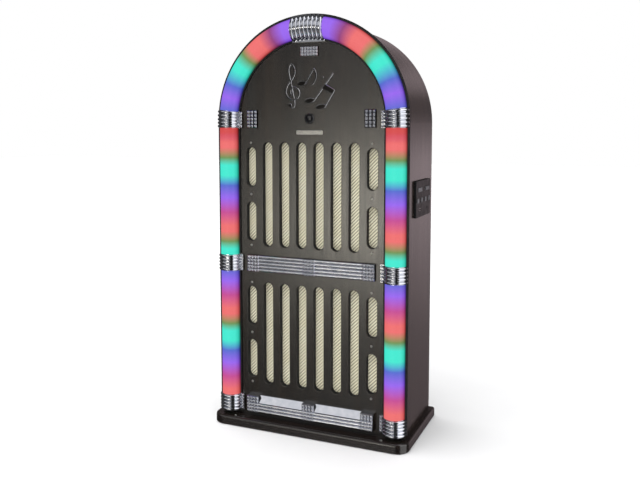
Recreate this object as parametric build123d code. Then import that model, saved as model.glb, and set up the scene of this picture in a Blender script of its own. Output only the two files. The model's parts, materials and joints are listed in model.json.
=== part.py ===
from build123d import *
import os
from math import asin, degrees, pi, sqrt

# Floor-standing arched jukebox. Millimetres.
# +X is to the right as seen from the front, +Y is to the back, +Z is up.
# The origin is on the floor, under the middle of the plinth.

# ---- Driving dimensions ----
# plinth and feet
plinth_width = 544.0
plinth_depth = 284.0
plinth_top = 25.0
foot_height = 2.5
foot_radius = 15.0
foot_places = (240.0, 110.0)  # from the middle, to the side and to the front or back
plinth_front_corner = 34.0
plinth_rear_corner = 6.0
plinth_edge_round = 6.0
plinth_toe = 41.5            # plinth ahead of the cabinet's front

# cabinet
cabinet_half_width = 258.0
cabinet_depth = 228.5
shoulder_z = 808.0           # where the cabinet's straight sides meet its arch
wall = 12.0
baffle_thickness = 16.0
rear_thickness = 9.0
rear_recess = 2.0
board_gap = 0.2

# cleats and the rear panel's screws
cleat = 15.0
cleat_bottom = 40.0
cleat_top = 800.0
arch_cleat_angles = (40.0, 90.0, 140.0)
arch_cleat_length = 40.0
arch_cleat_inset = 1.0
rear_screw_rows = 5
rear_screw_end = 30.0        # from a cleat's end to its nearest screw
rear_screw_length = 20.0
rear_head_radius = 4.0
rear_head_height = 1.9
recess_length = 3.6          # cross recess in a head
recess_width = 0.8

# rounded slots in the front
slot_pitch = 48.2
slot_width = 27.9
slot_length = 274.4
slot_columns = 8
short_slot_length = 103.5
short_slot_offset = 72.3     # middle of a short slot from the middle of its section
slot_edge_round = 1.2
section_z = (250.4, 621.1)   # middle of the lower and upper slot sections

# dome-head screws beside the slots
screw_x = 168.3
screw_rise = 135.3
screw_head_radius = 3.3
screw_head_height = 2.0
screw_shank_radius = 1.75
screw_hole_radius = 1.9
plinth_screw_x = 205.0
plinth_screw_inset = 11.5
plinth_screw_length = 16.0
plinth_hole_depth = 18.5

# half-round light columns
tube_x = 230.5
tube_radius = 27.0
spring_z = 816.0             # where the straight columns meet their arch
tube_wall = 2.0
tube_bottom = 36.5
fit_gap = 0.15

# black channel that the columns stand in
channel_base = 1.2
channel_rim = 3.4            # height of its rims
channel_outer_flange = 6.0   # beyond the tube, away from the cabinet's middle
channel_inner_flange = 4.0

# lamp strips
strip_width = 10.0
strip_thickness = 1.0
strip_end_gap = 4.0
lamp_size = 5.0
lamp_height = 1.8
lamp_pitch = 33.0

# ribbed chrome collars
sleeve_gap = 0.3
sleeve_wall = 1.5
bead_share = 0.41            # a rib's radius, as a share of the rib pitch
collar_height = 44.0
shoulder_height = 45.5
shoulder_middle_s = 2.0
collar_middle_z = 438.0
collar_foot_z = 56.5
collar_beads = 5
collar_foot_reach = 9.5      # flat foot on the inner side of each collar
collar_foot_thickness = 1.6
foot_bead_radius = 4.0
foot_bead_x = -34.5
foot_cap = 1.5               # closed underside of the lowest collars

# crown collar
crown_width = 88.0
crown_beads = 8
ledge_height = 5.0
ledge_depth = 4.0
ledge_drop = 5.5             # from the sleeve down to the ledge's middle

# studded badges and ribbed bars
badge_x = 163.0
badge_rise = 2.0
badge_width = 30.0
badge_base = 3.0
crown_badge_z = 986.5
crown_badge_size = (48.0, 24.0)
stud_radius = 4.2
bar_width = 356.0
bar_base = 3.0
bar_block_width = 34.0
bar_rib_radius = 4.2
bar_ribs = 5
bar_end_inset = 1.0          # the ribs stop short of the bar's ends
bar_block_lift = 2.5
base_bar_z = (36.0, 80.0)
base_bar_skirt = 13.0        # how far the base bar leans out at its foot
base_bar_shoulder = 62.0
base_bar_ribs = 3
base_block_lift = 1.5

# front details
plate_size = (73.0, 10.5)
plate_z = 783.5
plate_thickness = 1.6
receiver_z = 818.5
bezel_radius = 14.0
bezel_rise = 4.0
lens_radius = 8.5
lens_fit = 0.1
lens_stem = 8.0
lens_curve = 16.0            # radius of the lens's domed face
lens_dome = 2.5              # height of the dome
emblem_relief = 3.0

# grille
cloth_thickness = 1.0
cloth_gap = 0.3
board_thickness = 9.0
grille_half_width = 205.0
grille_half_height = 155.0

# loudspeakers
small_driver_x = 101.0
speaker_flange = 2.5         # thickness of a mounting flange
flange_overlap = 7.0         # flange beyond its opening in the board
flange_land = 6.0            # flat width of the flange
roll_inset = 9.0             # from the flange's rim to the rolled edge
roll_wall = 1.0
basket_wall = 2.0
basket_back = 7.0            # back plate, behind the cone's neck
magnet_gap = 1.8             # outside the coil
magnet_gap_end = 15.0        # behind the cone's neck
pole_clearance = 1.4         # inside the coil
pole_face = 5.0              # behind the cone's neck
cone_wall = 1.2
former_wall = 0.6
former_length = 11.0
cap_overlap = 4.0            # dust cap beyond the coil
cone_play = 0.4

# side controls
panel_y = 25.5
panel_z = 616.5
panel_size = (138.0, 93.0)
panel_rise = 6.0
panel_skin = 2.5
panel_opening = (122.0, 78.0)
panel_wall = 4.0
panel_corner = 4.0
panel_edge_round = 1.6
post_reach = (55.0, 35.0)
post_radius = 2.8
button_gap = 0.4
button_proud = 1.4
button_flange = 1.4
button_lip = 1.5             # flange beyond the cap, all round
button_travel = 1.2
button_slack = 0.1
switch_slack = 0.4
switch_size = 6.0
wide_button = (36.0, 10.0)
small_button = (14.0, 12.0)
button_pitch = 34.7
wide_row = 23.0
small_row = -4.0
socket_row = -27.0
socket_y = 34.0
circuit_x = 250.0
circuit_thickness = 1.6
circuit_size = (118.0, 74.0)
small_can = (5.0, 12.0)      # radius and height
large_can = (6.0, 14.0)
small_can_places = ((35.0, 15.0), (45.0, -8.0))
large_can_places = ((-40.0, 10.0), (-22.0, 10.0))
fin_size = (20.0, 44.0, 1.6)
fin_count = 6
fin_pitch = 4.0
fin_low = -30.0
usb_shell = (14.6, 7.2)
usb_opening = (12.6, 5.2)
usb_depth = 10.0
usb_tongue = (8.0, 11.0, 1.8)
socket_gap = 0.3
audio_bore = 1.8
audio_depth = 12.0
audio_radius = 4.0

# power socket
power_z = 90.0
power_flange_radius = 14.0
power_flange_height = 1.8
power_barrel_radius = 5.7
power_barrel_length = 18.0
power_bore = 3.2
power_bore_depth = 9.0
power_pin_radius = 1.05

# ---- Places worked out from them ----
front_y = -plinth_depth / 2 + plinth_toe
rear_y = front_y + cabinet_depth
inner_half_width = cabinet_half_width - wall
board_half_width = inner_half_width - board_gap
rear_face_y = rear_y - rear_recess
rear_panel_y = rear_face_y - rear_thickness
cloth_y = front_y + baffle_thickness + cloth_gap
board_y = cloth_y + cloth_thickness + cloth_gap
driver_y = board_y + board_thickness
sleeve_inner = tube_radius + sleeve_gap
sleeve_outer = sleeve_inner + sleeve_wall
sleeve_lift = channel_rim + 0.1
crown_s = tube_x * pi / 2          # length along the column from the spring to the crown
column_foot_s = tube_bottom - spring_z
middle_s = collar_middle_z - spring_z
foot_s = collar_foot_z - spring_z
panel_face_x = cabinet_half_width + panel_rise
circuit_face_x = circuit_x + circuit_thickness
button_back_x = panel_face_x - panel_skin - button_slack - button_flange


# ---- Shared shapes ----
def at_depth(y):
    """Sketch plane that faces the front at depth y: sketch x is X, sketch y is Z."""
    return Plane.XZ.offset(-y)


def slab(outline, y, thickness):
    """Board cut from a front-view outline, from depth y backwards."""
    return extrude(at_depth(y) * outline, amount=-thickness)


def arch_outline(half_width, bottom):
    """Front view of the cabinet: a straight-sided arch."""
    height = shoulder_z - bottom
    straight = Pos(0, bottom + height / 2) * Rectangle(2 * half_width, height)
    return straight + Pos(0, shoulder_z) * Circle(half_width)


def block(x0, x1, y0, y1, z0, z1):
    """Box between two corners."""
    centre = Pos((x0 + x1) / 2, (y0 + y1) / 2, (z0 + z1) / 2)
    return centre * Box(x1 - x0, y1 - y0, z1 - z0)


def facing_front(x, y, z):
    """Place where a shape's own +Z points to the front."""
    return Pos(x, y, z) * Rot(90, 0, 0)


def turned(points):
    """Solid of revolution about Z from (radius, height) points."""
    section = make_face(Polyline(*points, close=True))
    return revolve(Plane.XZ * section, Axis.Z)


def left_hand(shape):
    """The same piece for the left side."""
    return mirror(shape, about=Plane.YZ)


# ---- Cabinet ----
def slot_outlines(middle):
    """Six long slots with two short ones, one above the other, at each end."""
    outline = Sketch()
    for column in range(slot_columns):
        x = (column - (slot_columns - 1) / 2) * slot_pitch
        if column in (0, slot_columns - 1):
            for side in (-1, 1):
                short = SlotOverall(short_slot_length, slot_width, rotation=90)
                outline += Pos(x, middle + side * short_slot_offset) * short
        else:
            outline += Pos(x, middle) * SlotOverall(slot_length, slot_width, rotation=90)
    return outline


def grille_screw_places():
    """Centres of the screws beside the slots, as (x, z)."""
    places = []
    for middle in section_z:
        for x in (-screw_x, screw_x):
            for step in (-1, 0, 1):
                places.append((x, middle + step * screw_rise))
    return places


def screw_hole_outlines(radius):
    outline = Sketch()
    for x, z in grille_screw_places():
        outline += Pos(x, z) * Circle(radius)
    return outline


def front_baffle():
    outline = arch_outline(board_half_width, plinth_top)
    outline -= Pos(0, receiver_z) * Circle(lens_radius + board_gap)
    outline -= screw_hole_outlines(screw_hole_radius)
    board = slab(outline, front_y, baffle_thickness)
    for middle in section_z:
        board -= slab(slot_outlines(middle), front_y, baffle_thickness)
    front_face = board.faces().sort_by(Axis.Y)[0]
    slot_rims = [wire for wire in front_face.inner_wires() if wire.length > 4 * slot_width]
    return fillet([edge for rim in slot_rims for edge in rim.edges()], slot_edge_round)


def side_panel():
    """Right-hand side board."""
    return block(inner_half_width, cabinet_half_width, front_y, rear_y, plinth_top, shoulder_z)


def side_panel_right():
    width, height = panel_opening
    opening = Pos(cabinet_half_width, panel_y, panel_z) * Box(4 * wall, width, height)
    return side_panel() - opening


def arch_panel():
    """Board bent over the top of the cabinet."""
    ring = Circle(cabinet_half_width) - Circle(inner_half_width)
    upper = Pos(0, cabinet_half_width / 2) * Rectangle(2 * cabinet_half_width, cabinet_half_width)
    return slab(Pos(0, shoulder_z) * (ring & upper), front_y, cabinet_depth)


def cleat_places():
    """Middles of the straight cleats: front and rear, both sides, as (x, y)."""
    x = inner_half_width - cleat / 2
    front = front_y + baffle_thickness + cleat / 2
    rear = rear_panel_y - cleat / 2
    return [(side * x, y) for side in (-1, 1) for y in (front, rear)]


def round_arch(angle):
    """Turn of the cabinet's arch, in degrees up from its right-hand shoulder."""
    return Pos(0, 0, shoulder_z) * Rot(0, -angle, 0)


def rear_screw_places():
    """Where each rear screw stands, on the panel's outer face."""
    places = []
    x = inner_half_width - cleat / 2
    lowest = cleat_bottom + rear_screw_end
    pitch = (cleat_top - rear_screw_end - lowest) / (rear_screw_rows - 1)
    for side in (-1, 1):
        for row in range(rear_screw_rows):
            places.append(Pos(side * x, rear_face_y, lowest + row * pitch))
    for angle in arch_cleat_angles:
        places.append(round_arch(angle) * Pos(x, rear_face_y, 0))
    return places


def corner_cleats():
    """Glue blocks in the corners; the rear ones take the rear panel's screws."""
    blocks = []
    height = cleat_top - cleat_bottom
    for x, y in cleat_places():
        blocks.append(Pos(x, y, cleat_bottom + height / 2) * Box(cleat, cleat, height))
    x = inner_half_width - cleat / 2 - arch_cleat_inset
    y = rear_panel_y - cleat / 2
    for angle in arch_cleat_angles:
        blocks.append(round_arch(angle) * Pos(x, y, 0) * Box(cleat, cleat, arch_cleat_length))
    pilot = Rot(90, 0, 0) * Cylinder(screw_hole_radius, 2 * rear_screw_length)
    pilots = [place * pilot for place in rear_screw_places()]
    return Compound(children=[body for item in blocks for body in (item - pilots).solids()])


def rear_panel():
    outline = arch_outline(board_half_width, plinth_top + board_gap)
    outline -= Pos(0, power_z) * Circle(power_barrel_radius + socket_gap)
    panel = slab(outline, rear_panel_y, rear_thickness)
    for place in rear_screw_places():
        panel -= place * Rot(90, 0, 0) * Cylinder(screw_hole_radius, 4 * rear_thickness)
    return panel


def rear_panel_screws():
    """Pan-head screws that hold the rear panel."""
    head = Pos(0, 0, rear_head_height / 2) * Cylinder(rear_head_radius, rear_head_height)
    head = fillet(head.edges().group_by(Axis.Z)[-1], 1.0)
    arm = Box(recess_length, recess_width, 2 * recess_width)
    cross = Pos(0, 0, rear_head_height) * (arm + Rot(0, 0, 90) * arm)
    shank = Pos(0, 0, -rear_screw_length / 2) * Cylinder(screw_shank_radius, rear_screw_length)
    screw = head - cross + shank
    return Compound(children=[place * Rot(-90, 0, 0) * screw for place in rear_screw_places()])


def plinth_screw_places():
    y = front_y - plinth_toe + plinth_screw_inset
    return [Pos(side * plinth_screw_x, y, plinth_top) for side in (-1, 1)]


def base_plinth():
    """Board under the cabinet, round-cornered at the front."""
    outline = Rectangle(plinth_width, plinth_depth)
    corners = outline.vertices().group_by(Axis.Y)
    outline = fillet(corners[0], plinth_front_corner)
    outline = fillet(outline.vertices().group_by(Axis.Y)[-1], plinth_rear_corner)
    board = Pos(0, 0, foot_height) * extrude(outline, amount=plinth_top - foot_height)
    board = fillet(board.edges().group_by(Axis.Z)[-1], plinth_edge_round)
    hole = Cylinder(screw_hole_radius, 2 * plinth_hole_depth)
    for place in plinth_screw_places():
        board -= place * hole
    return board


def bottom_board():
    """Inner floor between the sides."""
    front = front_y + baffle_thickness + board_gap
    rear = rear_panel_y - board_gap
    return block(-board_half_width, board_half_width, front, rear, plinth_top, plinth_top + wall)


def rubber_feet():
    pad = Pos(0, 0, foot_height / 2) * Cylinder(foot_radius, foot_height)
    x, y = foot_places
    corners = [(-x, -y), (x, -y), (x, y), (-x, y)]
    return Compound(children=[Pos(*corner, 0) * pad for corner in corners])


def dome_screw(shank_length):
    """Dome-head screw standing on z = 0, shank down."""
    head = Pos(0, 0, screw_head_height / 2) * Cylinder(screw_head_radius, screw_head_height)
    head = fillet(head.edges().group_by(Axis.Z)[-1], 0.8 * screw_head_height)
    return head + Pos(0, 0, -shank_length / 2) * Cylinder(screw_shank_radius, shank_length)


def chrome_screws():
    """Screws beside the slots, and one at each end of the plinth's front edge."""
    through = driver_y - front_y
    screws = [facing_front(x, front_y, z) * dome_screw(through) for x, z in grille_screw_places()]
    screws += [place * dome_screw(plinth_screw_length) for place in plinth_screw_places()]
    return Compound(children=screws)


# ---- Light columns ----
def half_ring(outer, inner, lift):
    """Half-round section round the column, from lift ahead of the cabinet's front plane."""
    ring = Circle(outer) - Circle(inner)
    return ring & (Pos(0, -(outer + lift) / 2) * Rectangle(2 * outer, outer - lift))


def station(s):
    """Place on the right-hand column, s mm along it from the spring of the arch.
    Its own x points away from the middle of the cabinet and its own z along the column."""
    if s <= 0:
        return Pos(tube_x, front_y, spring_z + s)
    return Pos(0, front_y, spring_z) * Rot(0, -degrees(s / tube_x), 0) * Pos(tube_x, 0, 0)


def column_run(section, start, end):
    """A section carried along the column, round the arch where it passes the spring."""
    arch_axis = Axis((0, front_y, spring_z), (0, -1, 0))
    if end <= 0:
        return extrude(station(start) * section, amount=end - start)
    if start >= 0:
        return revolve(station(start) * section, arch_axis, degrees((end - start) / tube_x))
    return column_run(section, start, 0) + column_run(section, 0, end)


def light_tube(start, end):
    wall_section = half_ring(tube_radius, tube_radius - tube_wall, channel_base + fit_gap)
    return column_run(wall_section, start + fit_gap, end - fit_gap)


def light_channel():
    """Shallow trough behind the columns, with a flat rim on each side of the tubes."""
    outer = tube_radius + channel_outer_flange
    inner = tube_radius + channel_inner_flange
    whole = Pos((outer - inner) / 2, -channel_rim / 2) * Rectangle(outer + inner, channel_rim)
    width = 2 * (tube_radius + fit_gap)
    trough = Pos(0, -(channel_rim + channel_base) / 2) * Rectangle(width, channel_rim - channel_base)
    right_half = column_run(whole - trough, column_foot_s, crown_s)
    return right_half + left_hand(right_half)


def led_strip(start, end):
    """Lamp strip with its lamps, in the channel behind a light column."""
    middle = channel_base + fit_gap + strip_thickness / 2
    strip = column_run(Pos(0, -middle) * Rectangle(strip_width, strip_thickness), start, end)
    count = int((end - start) / lamp_pitch)
    lamp = Pos(0, -middle - lamp_height / 2, 0) * Box(lamp_size, lamp_height, lamp_size)
    for index in range(count):
        s = start + (index + 0.5) * (end - start) / count
        strip += station(s) * lamp
    return strip


def led_strips():
    """Left, right and arch strips."""
    side_strip = led_strip(column_foot_s + strip_end_gap, -strip_end_gap)
    arch_strip = led_strip(strip_end_gap, 2 * crown_s - strip_end_gap)
    return Compound(children=[side_strip, left_hand(side_strip), arch_strip])


# ---- Chrome ----
def sleeve_section():
    return half_ring(sleeve_outer, sleeve_inner, sleeve_lift)


def bead(radius):
    """Half-round rib that wraps the front of a column."""
    ring = Torus(sleeve_outer, radius) - Cylinder(sleeve_inner, 4 * radius)
    reach = sleeve_outer + radius
    front = Pos(0, -(reach + sleeve_lift) / 2, 0) * Box(2 * reach, reach - sleeve_lift, 2 * radius)
    return ring & front


def foot_bead():
    """Small bead at the inner foot of a rib."""
    size = 2 * foot_bead_radius
    front_half = Pos(0, -foot_bead_radius, 0) * Box(size, size, size)
    return Pos(foot_bead_x, -sleeve_lift, 0) * (Sphere(foot_bead_radius) & front_half)


def foot_section():
    """Flat foot over the channel's inner rim, with a lip down to the cabinet."""
    inner_x = -sleeve_outer - collar_foot_reach
    outer_x = -(sleeve_inner + sleeve_outer) / 2
    front = sleeve_lift + collar_foot_thickness
    whole = Pos((inner_x + outer_x) / 2, -front / 2) * Rectangle(outer_x - inner_x, front)
    rim_x = -(tube_radius + channel_inner_flange + fit_gap)
    clear = Pos((rim_x + outer_x) / 2, -sleeve_lift / 2) * Rectangle(outer_x - rim_x, sleeve_lift)
    return whole - clear


def collar(middle, length):
    """Ribbed collar round the right-hand column, with a flat foot on the inner side."""
    start = middle - length / 2
    end = middle + length / 2
    shell = column_run(sleeve_section(), start, end) + column_run(foot_section(), start, end)
    pitch = length / collar_beads
    for index in range(collar_beads):
        place = station(start + (index + 0.5) * pitch)
        shell += place * bead(bead_share * pitch)
        shell += place * foot_bead()
    return shell


def foot_collar():
    """Lowest collar, closed underneath."""
    start = foot_s - collar_height / 2
    width = 2 * sleeve_outer
    half = Circle(sleeve_outer) & (Pos(0, -sleeve_outer - sleeve_lift) * Rectangle(width, width))
    return collar(foot_s, collar_height) + extrude(station(start) * half, amount=foot_cap)


def crown_ledge():
    """Straight ledge below the crown collar, with a web up to it, clear of the channel's rim."""
    half = crown_width / 2
    middle_z = spring_z + tube_x - sleeve_outer - ledge_drop
    low = middle_z - ledge_height / 2
    ledge = block(-half, half, front_y - sleeve_lift - ledge_depth, front_y, low, low + ledge_height)
    web_top = middle_z + 2 * ledge_drop
    web_front = front_y - sleeve_lift - collar_foot_thickness
    ledge += block(-half, half, web_front, front_y - sleeve_lift, middle_z, web_top)
    rim = tube_x - tube_radius - channel_inner_flange - fit_gap
    arch_place = Pos(0, front_y, spring_z) * Rot(90, 0, 0)
    rim_ring = Cylinder(2 * rim, sleeve_lift) - Cylinder(rim, sleeve_lift)
    rim_clear = Pos(0, 0, sleeve_lift / 2) * rim_ring
    inside = Cylinder(tube_x - sleeve_inner, 4 * sleeve_lift)
    return (ledge - arch_place * rim_clear) & (arch_place * inside)


def crown_collar():
    """Collar at the top of the arch: upright ribs, square ends, and a ledge on its inner side."""
    half = crown_width / 2
    reach = tube_x * asin(half / (tube_x - sleeve_outer))
    shell = column_run(sleeve_section(), crown_s - reach, crown_s + reach)
    pitch = crown_width / crown_beads
    for index in range(crown_beads):
        x = (index + 0.5) * pitch - half
        place = Pos(x, front_y, spring_z + sqrt(tube_x**2 - x**2)) * Rot(0, -90, 0)
        shell += place * bead(bead_share * pitch)
    shell -= column_run(Circle(sleeve_inner), crown_s - reach, crown_s + reach)
    square = block(-half, half, front_y - 2 * tube_radius, front_y, spring_z, spring_z + 2 * tube_x)
    return (shell & square) + crown_ledge()


def rib_rows(width, height, count, radius):
    """Half-round ribs, one above the other, across a front-facing area."""
    pitch = height / count
    ribs = []
    for row in range(count):
        z = (row + 0.5) * pitch - height / 2
        ribs.append(Pos(0, 0, z) * Rot(0, 90, 0) * Cylinder(radius, width))
    return ribs


def studs(width, height, columns, rows):
    """Pillow-shaped studs: rows of ribs cut by columns of ribs."""
    across = Part() + rib_rows(width, height, rows, stud_radius)
    upright = Part() + [Rot(0, 90, 0) * rib for rib in rib_rows(height, width, columns, stud_radius)]
    return across & upright


def studded_block(x, z, width, height, columns, rows, base):
    """Block with a studded face, on the cabinet's front."""
    body = Pos(0, -base / 2, 0) * Box(width, base, height)
    front = Pos(0, -stud_radius, 0) * Box(2 * width, 2 * stud_radius, 2 * height)
    face = Pos(0, -base, 0) * (studs(width, height, columns, rows) & front)
    return Pos(x, front_y, z) * (body + face)


def side_badges():
    """One badge beside each shoulder collar."""
    badge = studded_block(badge_x, spring_z + badge_rise, badge_width, shoulder_height, 3, 5, badge_base)
    return Compound(children=[badge, left_hand(badge)])


def badge_crown():
    width, height = crown_badge_size
    return studded_block(0, crown_badge_z, width, height, 6, 3, badge_base)


def bar_block_places():
    reach = (bar_width - bar_block_width) / 2
    return (-reach, 0, reach)


def crossbar_middle():
    """Ribbed bar between the two slot sections."""
    z = collar_middle_z
    front = Pos(0, -bar_rib_radius, 0) * Box(2 * bar_width, 2 * bar_rib_radius, 2 * collar_height)
    rib_length = bar_width - 2 * bar_end_inset
    ribs = (Part() + rib_rows(rib_length, collar_height, bar_ribs, bar_rib_radius)) & front
    plate = Pos(0, -bar_base / 2, 0) * Box(bar_width, bar_base, collar_height)
    bar = Pos(0, front_y, z) * (plate + Pos(0, -bar_base, 0) * ribs)
    for x in bar_block_places():
        bar += studded_block(x, z, bar_block_width, collar_height, 4, 5, bar_base + bar_block_lift)
    return bar


def crossbar_base():
    """Bar above the plinth, sloped out at the top and ribbed below."""
    low, high = base_bar_z
    outline = Polyline(
        (0, low),
        (0, high),
        (-bar_base, high),
        (-base_bar_skirt, base_bar_shoulder),
        (-base_bar_skirt, low),
        close=True,
    )
    section = Plane.YZ * make_face(outline)
    bar = Pos(-bar_width / 2, front_y, 0) * extrude(section, amount=bar_width)
    height = base_bar_shoulder - low
    rib_length = bar_width - 2 * bar_end_inset
    ribs = Part() + rib_rows(rib_length, height, base_bar_ribs, bar_rib_radius)
    bar += Pos(0, front_y - base_bar_skirt, low + height / 2) * ribs
    middle = (low + high) / 2
    block_base = base_bar_skirt + base_block_lift
    for x in bar_block_places():
        bar += studded_block(x, middle, bar_block_width, high - low, 4, 5, block_base)
    return bar


# ---- Front details ----
def nameplate():
    """Blank plate with rounded ends."""
    width, height = plate_size
    face = RectangleRounded(width, height, 2.0)
    plate = slab(Pos(0, plate_z) * face, front_y - plate_thickness, plate_thickness)
    return fillet(plate.faces().sort_by(Axis.Y)[0].edges(), 0.5)


def relief(outline):
    """Raised symbol on the front."""
    return slab(outline, front_y - emblem_relief, emblem_relief)


def emblem_clef():
    """Treble clef: a scroll and a hooked stem that cross."""
    scroll = Spline(
        (-47, 878), (-53, 887), (-45, 897), (-31, 892), (-28, 879), (-38, 868), (-54, 869),
        (-65, 883), (-62, 900), (-50, 916), (-41, 932), (-43, 948), (-50, 957),
    )
    stem = Spline(
        (-50, 957), (-57, 945), (-56, 930), (-50, 905), (-45, 880), (-41, 860), (-43, 848), (-51, 847),
    )
    symbol = relief(trace(scroll, line_width=4.6)) + relief(trace(stem, line_width=4.0))
    ball = Pos(-53, 853) * Circle(5.0)
    tip = Pos(-50, 957) * Circle(2.4)
    curl = Pos(-47, 879) * Circle(3.0)
    return symbol + relief(ball) + relief(tip) + relief(curl)


def note_head(x, z, size):
    """Leaning oval head of a note."""
    return Pos(x, z) * Rot(0, 0, 8) * Ellipse(size, 0.47 * size)


def emblem_eighth_note():
    stem = trace(Line((-11, 907), (12, 944)), line_width=3.6)
    flag = trace(Spline((11, 943), (18, 930), (15, 914), (4, 903)), line_width=4.6)
    head = note_head(-20.5, 907.5, 12.0)
    return relief(head) + relief(stem) + relief(flag)


def emblem_beamed_notes():
    """Two notes joined by a beam, with two dots."""
    note = relief(note_head(1.0, 864.0, 14.0))
    note += relief(note_head(32.0, 848.5, 14.0))
    note += relief(trace(Line((13, 864), (65, 931)), line_width=4.0))
    note += relief(trace(Line((44, 850), (68, 889)), line_width=4.0))
    beam = make_face(Polyline((35, 893), (42, 906), (69, 890), (64, 879), close=True))
    note += relief(beam)
    dots = relief(Pos(36.5, 921.0) * Circle(3.6))
    return Compound(children=[*note.solids(), *dots.solids()])


def receiver_bezel():
    """Round rim of the remote-control window."""
    groove = lens_radius + board_gap
    ring = turned([
        (groove, 0),
        (bezel_radius, 0),
        (bezel_radius - 0.6, bezel_rise * 0.6),
        (bezel_radius - 2.4, bezel_rise),
        (groove + 1.2, bezel_rise * 0.8),
        (groove, bezel_rise * 0.3),
    ])
    return facing_front(0, front_y, receiver_z) * ring


def receiver_lens():
    """Dark domed window."""
    rod = Pos(0, 0, (lens_dome - lens_stem) / 2) * Cylinder(lens_radius - lens_fit, lens_stem + lens_dome)
    ball = Pos(0, 0, lens_dome - lens_curve) * Sphere(lens_curve)
    return facing_front(0, front_y, receiver_z) * (rod & ball)


# ---- Grille ----
def grille_panel_outline(middle):
    panel = Pos(0, middle) * Rectangle(2 * grille_half_width, 2 * grille_half_height)
    for x, z in grille_screw_places():
        panel -= Pos(x, z) * Circle(screw_hole_radius + board_gap)
    return panel


def grille_cloth(middle):
    return slab(grille_panel_outline(middle), cloth_y, cloth_thickness)


def speaker_board(middle, radius, places):
    """Board behind the cloth, with a round opening for each loudspeaker."""
    outline = grille_panel_outline(middle)
    for x in places:
        outline -= Pos(x, middle) * Circle(radius)
    return slab(outline, board_y, board_thickness)


# ---- Loudspeakers ----
class Driver:
    """Sizes of one loudspeaker; heights run back from its mounting flange."""

    def __init__(self, flange, edge, coil, depth, neck, magnet, magnet_height):
        self.flange = flange
        self.edge = edge
        self.coil = coil
        self.depth = depth
        self.neck = neck
        self.magnet = magnet
        self.magnet_height = magnet_height

    def opening(self):
        return self.flange - flange_overlap


def small_driver():
    return Driver(flange=52, edge=36, coil=12.5, depth=18, neck=24, magnet=34, magnet_height=14)


def woofer():
    return Driver(flange=84, edge=62, coil=19, depth=32, neck=38, magnet=52, magnet_height=20)


def driver_place(x, z):
    """A loudspeaker's own height runs to the back of the cabinet."""
    return Pos(x, driver_y, z) * Rot(-90, 0, 0)


def driver_basket(size):
    """Pressed frame: flange, sloping wall with windows, and back plate."""
    back = size.depth + basket_back
    hole = size.coil + magnet_gap
    frame = turned([
        (size.flange, 0),
        (size.flange, speaker_flange),
        (size.flange - flange_land, speaker_flange),
        (size.neck + basket_wall, back),
        (hole, back),
        (hole, back - basket_wall),
        (size.neck, back - basket_wall),
        (size.flange - roll_inset, 0),
    ])
    window_height = 0.45 * size.depth
    for turn in (0, 45, 90, 135):
        window = Box(4 * size.flange, 0.45 * size.neck, window_height)
        frame -= Pos(0, 0, 0.65 * size.depth) * Rot(0, 0, turn) * window
    return frame


def driver_magnet(size):
    """Ring magnet with its pole piece and the coil gap."""
    top = size.depth + basket_back
    gap_floor = size.depth + magnet_gap_end
    bottom = top + size.magnet_height
    pole = size.coil - pole_clearance
    return turned([
        (0, size.depth + pole_face),
        (pole, size.depth + pole_face),
        (pole, gap_floor),
        (size.coil + magnet_gap, gap_floor),
        (size.coil + magnet_gap, top),
        (size.magnet, top),
        (size.magnet, bottom),
        (0, bottom),
    ])


def driver_cone(size):
    """Cone with its dust cap and coil former."""
    cap = size.coil + cap_overlap
    cap_z = size.depth * (size.edge - cap) / (size.edge - size.coil)
    rise = 0.35 * cap
    return turned([
        (0, cap_z - rise),
        (0.55 * cap, cap_z - 0.72 * rise),
        (cap, cap_z),
        (size.edge, 0),
        (size.edge, cone_wall),
        (size.coil, size.depth + cone_wall),
        (size.coil, size.depth + former_length),
        (size.coil - former_wall, size.depth + former_length),
        (size.coil - former_wall, size.depth),
        (0, cap_z - rise + cone_wall),
    ])


def driver_surround(size):
    """Rolled rubber edge between the frame and the cone."""
    inner = size.edge + cone_play
    outer = size.flange - roll_inset
    roll = (outer - inner) / 2
    ring = Circle(roll) - Circle(roll - roll_wall)
    half = ring & (Pos(0, -roll / 2) * Rectangle(2 * roll, roll))
    return revolve(Plane.XZ * Pos((outer + inner) / 2, 0) * half, Axis.Z)


# ---- Side controls ----
def button_outlines():
    """Name, offset along Y, offset along Z and size of each button."""
    rows = [
        ("button_power", -button_pitch, wide_row, wide_button),
        ("button_source", button_pitch, wide_row, wide_button),
    ]
    names = ("button_previous", "button_play", "button_next", "button_lights")
    for index, name in enumerate(names):
        rows.append((name, (index - 1.5) * button_pitch, small_row, small_button))
    return rows


def on_side(x, dy, dz):
    """Place on the control panel, dy to the back and dz up from its middle."""
    return Pos(x, panel_y + dy, panel_z + dz)


def plate_openings():
    """Cutters for the buttons and sockets, straight through the plate."""
    through = 4 * panel_rise
    cutters = []
    for _, dy, dz, size in button_outlines():
        cutter = Box(through, size[0] + 2 * button_gap, size[1] + 2 * button_gap)
        cutters.append(on_side(panel_face_x, dy, dz) * cutter)
    usb_hole = Box(through, usb_shell[0] + 2 * socket_gap, usb_shell[1] + 2 * socket_gap)
    cutters.append(on_side(panel_face_x, -socket_y, socket_row) * usb_hole)
    audio_hole = Rot(0, 90, 0) * Cylinder(audio_radius + socket_gap, through)
    cutters.append(on_side(panel_face_x, socket_y, socket_row) * audio_hole)
    return cutters


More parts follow.
